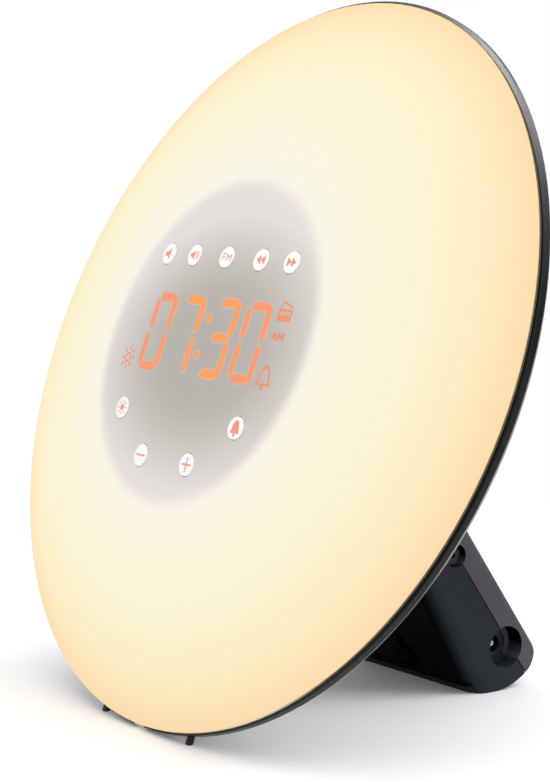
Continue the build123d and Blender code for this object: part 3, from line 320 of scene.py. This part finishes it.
REAR_INWARD = inward(54.6)     # square to the leg's rear face, into the leg
FRONT_OUTWARD = inward(61.0)   # square to its front face, out of the leg
COVER_DEPTH = 9.6              # from the rear face to the seam
SEAM_SOFT = 0.05               # half the seam's blend
FRONT_SHADE_FACING = (0.55, 0.95)    # how squarely a surface faces that way as painted shade turns it dark
HOUSING_TONE = (44, 48, 53)
# the rear cover's own lighter grey, with its sheen painted in
COVER_TONE_AND_SHEEN = (81, 79, 83)
# painted shade: the leg's front face under the disc, nearly black
FRONT_SHADE_TONE = (1, 1, 2)
LEG_CLOUDS = 40.0
LEG_VARY = 0.12
LEG_ROUGHNESS = (0.5, 0.62)
LEG_GRAIN = 0.05
LEG_GRAIN_DEPTH = 0.0001


def leg_material():
    """Housing and cover of two greys, split at the seam, the cover's grey holding its painted
    sheen; the front face, in the disc's shade, is painted nearly black.
    """
    shader = Shader("leg_satin")
    cloudy = shader.noise(LEG_CLOUDS)
    seam = HEEL.dot(REAR_INWARD) + COVER_DEPTH * MM
    soft = SEAM_SOFT * MM
    cover = shader.remap(shader.along(shader.coordinates(), REAR_INWARD), seam + soft, seam - soft)
    normal = shader.node("NewGeometry").outputs["Normal"]
    # painted shade: surfaces facing forward and down, under the disc, turn nearly black
    front = shader.remap(shader.along(normal, FRONT_OUTWARD), *FRONT_SHADE_FACING)
    greys = shader.mix(cover, shader.mottle(cloudy, HOUSING_TONE, LEG_VARY),
                       shader.mottle(cloudy, COVER_TONE_AND_SHEEN, LEG_VARY))
    shader.set(Base_Color=shader.mix(front, greys, linear(FRONT_SHADE_TONE)),
               Roughness=shader.span(cloudy, *LEG_ROUGHNESS), Specular_IOR_Level=0.03)
    shader.grain(GRAIN_SCALE, LEG_GRAIN, LEG_GRAIN_DEPTH)
    return shader.material


# ---------------------------------------------------------------- materials by slot
MATERIALS = {
    "opal": opal_material(),
    "gloss_black": plain("band_gloss", (6, 6, 7), 0.27, grain=300, bump=0,
                         Specular_IOR_Level=0.25),
    "satin_black": leg_material(),
    "button_white": plain("button_cap", (254, 253, 251), 0.45, vary=0.02),
    "lit_orange": plain("segment_lit", (255, 150, 95), 0.5, vary=0.03),
    "unlit_grey": plain("segment_unlit", (170, 166, 162), 0.5),
    "white_plastic": plain("reflector_white", (238, 238, 234), 0.6, vary=0.03),
    "white_board": plain("led_board_white", (226, 228, 226), 0.4, vary=0.03),
    "green_board": plain("board_green", (20, 84, 44), 0.35),
    "led_yellow": plain("led_phosphor", (236, 206, 110), 0.4),
    "dark_plastic": plain("inner_dark", (34, 34, 35), 0.6),
    "jack_plastic": plain("jack_black", (42, 44, 50), 0.3),
    "bright_metal": plain("pin_nickel", (222, 222, 224), 0.22, vary=0.03, Metallic=1.0),
    "steel": plain("frame_steel", (150, 150, 150), 0.35, Metallic=1.0),
    "screw_steel": plain("screw_black_zinc", (60, 60, 62), 0.35, Metallic=1.0),
    "cone_paper": plain("cone_paper", (50, 50, 50), 0.85, bump=0.3),
    "foam_black": plain("foam", (30, 30, 30), 0.95, bump=0.5),
    "black_rubber": plain("rubber", (24, 24, 25), 0.7, bump=0.15),
    "grey_rubber": plain("silicone", (150, 150, 150), 0.55),
    "carbon": plain("carbon", (26, 26, 26), 0.8),
    "capacitor_sleeve": plain("capacitor_sleeve", (26, 38, 90), 0.25),
    "cable_grey": plain("flat_cable", (170, 170, 170), 0.45),
    "cable_black": plain("lead_black", (26, 26, 26), 0.5),
}


def dress_nodes():
    slots = {part["node"]: part["material_slot"] for part in frame["record"]["subparts"]}
    for name, node in frame["nodes"].items():
        node.data.materials.clear()
        node.data.materials.append(MATERIALS[slots[name]])


dress_nodes()


# ---------------------------------------------------------------- outlines, in millimetres
CORNER_SHARE = 0.48            # a rounded corner takes at most this share of each side
RING_STEPS = 32
DOT_STEPS = 16
STROKE_ROUND = 0.3             # a stroke's corner radius, in widths
BAR_ROUND = 0.45               # the same of a lit bar
BAR_END = 0.62                 # its width at its ends, as a share of its full width
BAR_SHOULDER = 0.75            # where it becomes full, in widths from its end


def rounded(points, radius, steps=4):
    """Outline with its corners rounded; points go anticlockwise."""
    outline = []
    count = len(points)
    for i, here in enumerate(points):
        here = Vector(here)
        to_before = Vector(points[i - 1]) - here
        to_after = Vector(points[(i + 1) % count]) - here
        reach = min(radius, to_before.length * CORNER_SHARE, to_after.length * CORNER_SHARE)
        start = here + to_before.normalized() * reach
        end = here + to_after.normalized() * reach
        for step in range(steps + 1):
            t = step / steps
            outline.append((start * (1 - t) ** 2 + here * 2 * t * (1 - t) + end * t ** 2)[:])
    return outline


def circle(x, y, radius, count=28):
    return [(x + radius * cos(2 * pi * i / count), y + radius * sin(2 * pi * i / count))
            for i in range(count)]


def stroke(a, b, width, cap=0.35):
    """Outline of a bar between two points; cap is how far it goes past them, in half widths."""
    a, b = Vector(a), Vector(b)
    along = (b - a).normalized() * (width / 2)
    side = Vector((-along.y, along.x))
    corners = [a - along * cap - side, b + along * cap - side,
               b + along * cap + side, a - along * cap + side]
    return rounded(corners, width * STROKE_ROUND, 3)


def bar(a, b, width):
    """Outline of a lit bar: full in the middle, narrower at both rounded ends."""
    a, b = Vector(a), Vector(b)
    along = (b - a).normalized()
    side = Vector((-along.y, along.x)) * (width / 2)
    tip = side * BAR_END
    inner = along * (width * BAR_SHOULDER)
    corners = [a - tip, a + inner - side, b - inner - side, b - tip,
               b + tip, b - inner + side, a + inner + side, a + tip]
    return rounded(corners, width * BAR_ROUND)


def grown(outline, amount):
    """Outline moved outward by an amount."""
    moved_out = []
    count = len(outline)
    for i, (x, y) in enumerate(outline):
        tangent = (Vector(outline[(i + 1) % count]) - Vector(outline[i - 1])).normalized()
        moved_out.append((x + tangent.y * amount, y - tangent.x * amount))
    return moved_out


def loops_of(shape):
    """A shape is one outline, or a list of an outline and its hole."""
    return shape if isinstance(shape[0], list) else [shape]


def moved(shapes, x, y, scale=1.0):
    return [[[(x + scale * a, y + scale * b) for a, b in loop] for loop in loops_of(shape)]
            for shape in shapes]


# ---------------------------------------------------------------- graphics as thin solids
SHAPE_SINK = 0.30              # how far a graphic's solid reaches under the surface


def graphic_mesh(name, shapes, height, lift):
    """Closed thin solids that follow a surface and stand over it by a lift."""
    bm = bmesh.new()
    for shape in shapes:
        tops, lows = [], []
        for loop in loops_of(shape):
            top = [bm.verts.new(disc_point(u, v, height(u, v) + lift)) for u, v in loop]
            low = [bm.verts.new(disc_point(u, v, height(u, v) - SHAPE_SINK)) for u, v in loop]
            tops.append(top)
            lows.append(low)
            for i in range(len(loop)):
                j = (i + 1) % len(loop)
                bm.faces.new((top[i], top[j], low[j], low[i]))
        for rings in (tops, lows):
            edges = [bm.edges.get((vert, verts[(i + 1) % len(verts)]))
                     for verts in rings for i, vert in enumerate(verts)]
            bmesh.ops.triangle_fill(bm, use_beauty=True, edges=edges)
    bmesh.ops.recalc_face_normals(bm, faces=bm.faces)
    mesh = bpy.data.meshes.new(name)
    bm.to_mesh(mesh)
    bm.free()
    return mesh


def add_object(name, data):
    made = bpy.data.objects.new(name, data)
    bpy.context.scene.collection.objects.link(made)
    return made


def add_piece(name, mesh, body, material):
    piece = add_object(name, mesh)
    mesh.materials.append(material)
    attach(piece, body)


# ---------------------------------------------------------------- shapes of the digits and icons
DIGIT_BARS = {
    # name: (start, end, width) about the digit's centre
    "a": ((-4.8, 11.8), (4.3, 11.8), 2.8), "g": ((-4.6, -0.6), (4.0, -0.6), 2.8),
    "d": ((-4.8, -13.6), (4.3, -13.6), 2.8),
    "f": ((-5.8, 10.7), (-5.8, 0.4), 2.2), "e": ((-5.8, -2.0), (-5.8, -12.8), 2.2),
    "b": ((5.0, 12.1), (5.0, 0.3), 2.4), "c": ((5.0, -1.9), (5.0, -13.9), 2.4),
}
DIGITS = ((-27.1, "abcdef"), (-9.6, "abc"), (11.0, "abgcd"), (28.4, "abcdef"))
COLON = ((1.0, 5.4), (0.7, -7.4))
COLON_HALF = (1.35, 1.05)      # half a dot's width and height
LETTERS = {
    "A": [((-1.0, -1.25), (0.0, 1.25)), ((0.0, 1.25), (1.0, -1.25)),
          ((-0.6, -0.45), (0.6, -0.45))],
    "M": [((-1.25, -1.25), (-1.25, 1.25)), ((-1.25, 1.25), (0.0, -0.4)),
          ((0.0, -0.4), (1.25, 1.25)), ((1.25, 1.25), (1.25, -1.25))],
    "F": [((-0.8, -1.25), (-0.8, 1.25)), ((-0.8, 1.25), (0.8, 1.25)),
          ((-0.8, 0.1), (0.55, 0.1))],
}
BELL = [(-3.7, -2.7), (3.7, -2.7), (2.7, -1.4), (2.4, 1.4), (1.3, 3.2), (0.4, 3.7), (-0.4, 3.7),
        (-1.3, 3.2), (-2.4, 1.4), (-2.7, -1.4)]
CLAPPER = (0, -3.45)
SUN_RAYS = 8
WAVE_ANGLES = (-0.75, -0.375, 0, 0.375, 0.75)


def digit_shapes():
    shapes = []
    for centre, names in DIGITS:
        for name in names:
            (ax, ay), (bx, by), width = DIGIT_BARS[name]
            shapes.append(bar((centre + ax, ay), (centre + bx, by), width))
    half_x, half_y = COLON_HALF
    for x, y in COLON:
        shapes.append(rounded([(x - half_x, y - half_y), (x + half_x, y - half_y),
                               (x + half_x, y + half_y), (x - half_x, y + half_y)], 0.95))
    return shapes


def word(text, width, gap, scale=1.0):
    shapes = []
    start = -gap * (len(text) - 1) / 2
    for i, character in enumerate(text):
        strokes = [stroke(a, b, width / scale, 0.5) for a, b in LETTERS[character]]
        shapes += moved(strokes, start + gap * i, 0, scale)
    return shapes


def sun_shapes(core, ray_start, ray_end, width, hollow=None):
    shapes = [circle(0, 0, core)]
    if hollow:
        shapes = [[circle(0, 0, core, RING_STEPS), circle(0, 0, hollow, RING_STEPS)]]
    for i in range(SUN_RAYS):
        angle = 2 * pi / SUN_RAYS * i
        shapes.append(stroke((ray_start * cos(angle), ray_start * sin(angle)),
                             (ray_end * cos(angle), ray_end * sin(angle)), width))
    return shapes


def bell_outline_shapes():
    inner = rounded([(0.72 * x, 0.74 * y - 0.08) for x, y in BELL], 0.5, 3)
    return [[rounded(BELL, 0.7, 3), inner], circle(*CLAPPER, 0.75, DOT_STEPS)]


def bell_filled_shapes():
    return [rounded(BELL, 0.7, 3), circle(*CLAPPER, 0.85, DOT_STEPS)]


def radio_shapes():
    box = [(-3.5, -3.6), (3.5, -3.6), (3.5, 0.7), (-3.5, 0.7)]
    window = [(-2.7, -1.5), (2.7, -1.5), (2.7, -0.1), (-2.7, -0.1)]
    return [[rounded(box, 0.5, 3), rounded(window, 0.3, 3)],
            stroke((-3.1, 0.8), (-2.2, 3.2), 0.6), stroke((-2.2, 3.2), (3.0, 1.5), 0.6),
            stroke((-0.9, -1.4), (-0.9, -0.2), 0.5), stroke((0.9, -1.4), (0.9, -0.2), 0.5)]


def speaker_shapes(waves):
    cone = [(-1.9, -0.55), (-0.9, -0.55), (0.15, -1.5), (0.15, 1.5), (-0.9, 0.55), (-1.9, 0.55)]
    shapes = [rounded(cone, 0.15, 2)]
    for i in range(waves):
        radius = 1.0 + 0.8 * i
        points = [(0.1 + radius * cos(a), radius * sin(a)) for a in WAVE_ANGLES]
        shapes += [stroke(a, b, 0.34) for a, b in zip(points, points[1:])]
    return shapes


def arrow_shapes(sign):
    shapes = []
    for x in (-0.95, 0.95):
        tip = x + sign * 0.95
        back = x - sign * 0.95
        corners = [(tip, 0), (back, 1.35), (back, -1.35)]
        if sign < 0:
            corners.reverse()
        shapes.append(rounded(corners, 0.15, 2))
    return shapes


# ---------------------------------------------------------------- lit digits and indicators
# painted glow around the digits, as paler layers: (grow in millimetres, lift over the face,
# colour)
DIGIT_GLOW_LAYERS = ((0.7, 0.02, (206, 188, 175)), (0.3, 0.035, (230, 178, 140)))
HALO_LIGHT = 0.4
FACE_LIFT = 0.05               # of the digits and indicators over the face
DIGIT_MIDDLE = (254, 160, 94)
DIGIT_END = (250, 153, 116)
DIGIT_TURN = (0.35, 0.6)       # where the one colour turns into the other, as shares of
DIGIT_REACH = 40.0             # this distance from the display's middle
DIGIT_LIGHT = 0.85
PRINT_CLOUDS = 140.0
PRINT_DARK = 0.94              # an ink's darkest places, as a share of its colour


def printed_material(name, rgb, strength):
    """Flat ink or lit sign: a share of its colour is light, the rest is its own; on ink that light
    is a painted glow.
    """
    shader = Shader(name)
    base = linear(rgb)
    tint = shader.ramp(shader.noise(PRINT_CLOUDS, 2.0),
                       [(0.35, scaled(base, PRINT_DARK)), (0.65, base)])
    shader.set(Base_Color=shader.share_of(1 - strength, tint), Emission_Color=tint,
               Emission_Strength=strength, Roughness=0.5, Specular_IOR_Level=0.2)
    return shader.material


def display_material():
    """Lit digits: orange in the middle of the display, salmon at its ends."""
    shader = Shader("display_orange")
    aside = shader.math("ABSOLUTE", shader.split(shader.disc_coordinates())["X"])
    tint = shader.ramp(shader.math("DIVIDE", aside, DIGIT_REACH * MM),
                       list(zip(DIGIT_TURN, (linear(DIGIT_MIDDLE), linear(DIGIT_END)))))
    shader.set(Base_Color=shader.share_of(1 - DIGIT_LIGHT, tint), Emission_Color=tint,
               Emission_Strength=DIGIT_LIGHT, Roughness=0.5, Specular_IOR_Level=0.06)
    return shader.material


LIT = display_material()
ICON = printed_material("indicator_orange", (240, 150, 112), 0.75)
# ink on the buttons, half of it given as painted glow
PRINT_INK_AND_GLOW = printed_material("button_print", (240, 156, 138), 0.5)
FACE_GRAPHICS = {
    "display_digits": (digit_shapes(), LIT),
    "indicator_sun": (moved(sun_shapes(1.9, 2.8, 4.2, 0.8, 1.25), -41.6, -11.6), ICON),
    "indicator_radio": (moved(radio_shapes(), 41.5, 11.2), ICON),
    "indicator_morning": (moved(word("AM", 0.85, 3.4), 41.3, 2.3), ICON),
    "indicator_bell": (moved(bell_outline_shapes(), 41.1, -11.6, 1.08), ICON),
}


def add_face_graphics():
    for i, (amount, lift, rgb) in enumerate(DIGIT_GLOW_LAYERS):
        name = "display_halo_%d" % (i + 1)
        layer = [grown(shape, amount) for shape in digit_shapes()]
        material = printed_material(name, rgb, HALO_LIGHT)
        add_piece(name, graphic_mesh(name, layer, dome, lift), ROOT, material)
    for name, (shapes, material) in FACE_GRAPHICS.items():
        mesh = graphic_mesh(name, shapes, dome, FACE_LIFT)
        add_piece(name, mesh, ROOT, material)


add_face_graphics()

# ---------------------------------------------------------------- button prints
BUTTON_PROUD = 0.35            # a cap's stand over the dome
PRINT_LIFT = 0.04
PRINT_SCALE = 1.25
BUTTON_PRINTS = {
    # button: (its centre on the disc, its symbol)
    "volume_down": ((-36.5, 27.9), moved(speaker_shapes(0), 0.4, 0, 1.2)),
    "volume_up": ((-19.8, 27.9), speaker_shapes(2)),
    "radio": ((0.0, 27.9), word("FM", 0.32, 2.3, 0.72)),
    "previous": ((19.8, 27.9), arrow_shapes(-1)),
    "next": ((36.5, 27.9), arrow_shapes(1)),
    "light": ((-34.7, -29.8), sun_shapes(0.9, 1.4, 2.1, 0.4)),
    "alarm": ((34.7, -29.8), moved(bell_filled_shapes(), 0, 0, 0.55)),
    "minus": ((-14.1, -45.0), [stroke((-2.1, 0), (2.1, 0), 0.5)]),
    "plus": ((14.1, -45.0),
             [[(-0.25, -2.1), (0.25, -2.1), (0.25, -0.25), (2.1, -0.25), (2.1, 0.25),
               (0.25, 0.25), (0.25, 2.1), (-0.25, 2.1), (-0.25, 0.25), (-2.1, 0.25),
               (-2.1, -0.25), (-0.25, -0.25)]]),
}


def cap_height(u, v):
    """Height of a button cap's top: the dome's surface moved out by the cap's stand."""
    return dome(u, v) + BUTTON_PROUD


def add_button_prints():
    for button, ((x, y), symbol) in BUTTON_PRINTS.items():
        name = "print_" + button
        mesh = graphic_mesh(name, moved(symbol, x, y, PRINT_SCALE), cap_height, PRINT_LIFT)
        add_piece(name, mesh, "button_" + button, PRINT_INK_AND_GLOW)


add_button_prints()


# ---------------------------------------------------------------- floor, light and camera
FLOOR_SIZE = 6.0               # half its side, in metres
FLOOR_CLOUDS = 8.0
FLOOR_TONES = [(0.4, 0.91), (0.6, 0.93)]
FLOOR_LIFT = 0.07              # light added to the floor as it is seen
FLOOR_FADE = (0.22, 0.6)       # distances from the shadow over which the floor turns white
SHADOW_CENTRE = (-0.07, -0.14)
# strength of the world's light, from the horizon up to a height of 0.7 of the sky's sphere
SKY_FROM, SKY_TO = 0.0, 0.7
SKY_LOW, SKY_HIGH = 0.25, 1.15
SKY_SEEN = 1.0                 # and as the camera's pale background
RIM_AIM = (0.08, 0.03, 0.2)
LAMPS = (
    # name, place, aim, size, power in watts, whether it also lights matt surfaces
    ("key", (0.8, 0.7, 1.15), (0, 0, 0.05), (0.9, 0.9), 10.5, True),
    ("front", (0.6, -0.6, 1.45), (0, 0, 0.1), (1.0, 1.0), 2.5, True),
    ("rim_back", (-0.1, 1.32, 0.9), RIM_AIM, (0.7, 0.5), 2, False),
    ("rim_top", (-0.64, -0.37, 1.41), RIM_AIM, (0.3, 0.3), 17, False),
    ("rim_front", (-0.46, -0.62, 1.42), RIM_AIM, (0.38, 0.3), 6, False),
)


def stage_material():
    """Pale floor that keeps a shadow near the object and fades to white far from it."""
    shader = Shader("floor_pale")
    shader.set(Base_Color=shader.ramp(shader.noise(FLOOR_CLOUDS), FLOOR_TONES), Roughness=0.9,
               Specular_IOR_Level=0.1)
    path = shader.node("LightPath").outputs
    seen = shader.math("MAXIMUM", path["Is Camera Ray"],
                       shader.math("MAXIMUM", path["Is Glossy Ray"],
                                   path["Is Transmission Ray"]))
    away = shader.distance(shader.coordinates(), SHADOW_CENTRE)
    fade = shader.remap(away, *FLOOR_FADE, kind="SMOOTHSTEP")

    def white_light(strength):
        made = shader.node("Emission")
        made.inputs["Color"].default_value = WHITE
        shader.feed(made.inputs["Strength"], strength)
        return made.outputs[0]

    lifted = shader.node("AddShader")
    shader.link(shader.main.outputs[0], lifted.inputs[0])
    shader.link(white_light(shader.math("MULTIPLY", seen, FLOOR_LIFT)), lifted.inputs[1])
    blend = shader.node("MixShader")
    shader.link(shader.math("MULTIPLY", seen, fade), blend.inputs[0])
    shader.link(lifted.outputs[0], blend.inputs[1])
    shader.link(white_light(1.0), blend.inputs[2])
    shader.link(blend.outputs[0], shader.find("OUTPUT_MATERIAL").inputs["Surface"])
    return shader.material


def add_floor():
    mesh = bpy.data.meshes.new("floor")
    signs = ((-1, -1), (1, -1), (1, 1), (-1, 1))
    corners = [(x * FLOOR_SIZE, y * FLOOR_SIZE, 0) for x, y in signs]
    mesh.from_pydata(corners, [], [(0, 1, 2, 3)])
    floor = add_object("floor", mesh)
    mesh.materials.append(stage_material())


def add_world():
    """Sky that is brighter overhead, behind an even pale background for the camera."""
    world = bpy.data.worlds.new("studio")
    bpy.context.scene.world = world
    nodes = Nodes(world)
    back = nodes.find("BACKGROUND")
    back.inputs["Color"].default_value = WHITE
    up = nodes.split(nodes.node("TexCoord").outputs["Generated"])["Z"]
    sky = nodes.remap(up, SKY_FROM, SKY_TO, SKY_LOW, SKY_HIGH)
    seen = nodes.node("LightPath").outputs["Is Camera Ray"]
    nodes.link(nodes.span(seen, sky, SKY_SEEN), back.inputs["Strength"])


def add_lamps():
    for name, place, aim, size, power, diffuse in LAMPS:
        light = bpy.data.lights.new(name, "AREA")
        light.shape = "RECTANGLE"
        light.size, light.size_y = size
        light.energy = power
        lamp = add_object(name, light)
        lamp.location = place
        lamp.rotation_euler = (Vector(aim) - Vector(place)).to_track_quat("-Z", "Y").to_euler()
        lamp.visible_diffuse = diffuse


# camera, from a fit to the object's own landmarks
CAMERA_AZIMUTH = 53.74
CAMERA_ELEVATION = 6.57
CAMERA_DISTANCE = 0.7266
CAMERA_AIM = (0.0073, -0.01223)    # to the right of and above the disc's centre, as seen
CAMERA_LENS = 96.08
CAMERA_SENSOR = 36
CAMERA_NEAR = 0.01


def add_camera():
    data = bpy.data.cameras.new("camera")
    camera = add_object("camera", data)
    turn, rise = radians(CAMERA_AZIMUTH), radians(CAMERA_ELEVATION)
    back = Vector((sin(turn) * cos(rise), -cos(turn) * cos(rise), sin(rise)))
    right = Vector((cos(turn), sin(turn), 0))
    up = back.cross(right)
    aim = DISC_CENTRE + right * CAMERA_AIM[0] + up * CAMERA_AIM[1]
    matrix = Matrix((right, up, back)).transposed().to_4x4()
    matrix.translation = aim + back * CAMERA_DISTANCE
    camera.matrix_world = matrix
    data.sensor_width = CAMERA_SENSOR
    data.lens = CAMERA_LENS
    data.clip_start = CAMERA_NEAR
    bpy.context.scene.camera = camera


add_floor()
add_world()
add_lamps()
add_camera()
bpy.context.scene.view_settings.view_transform = "Standard"
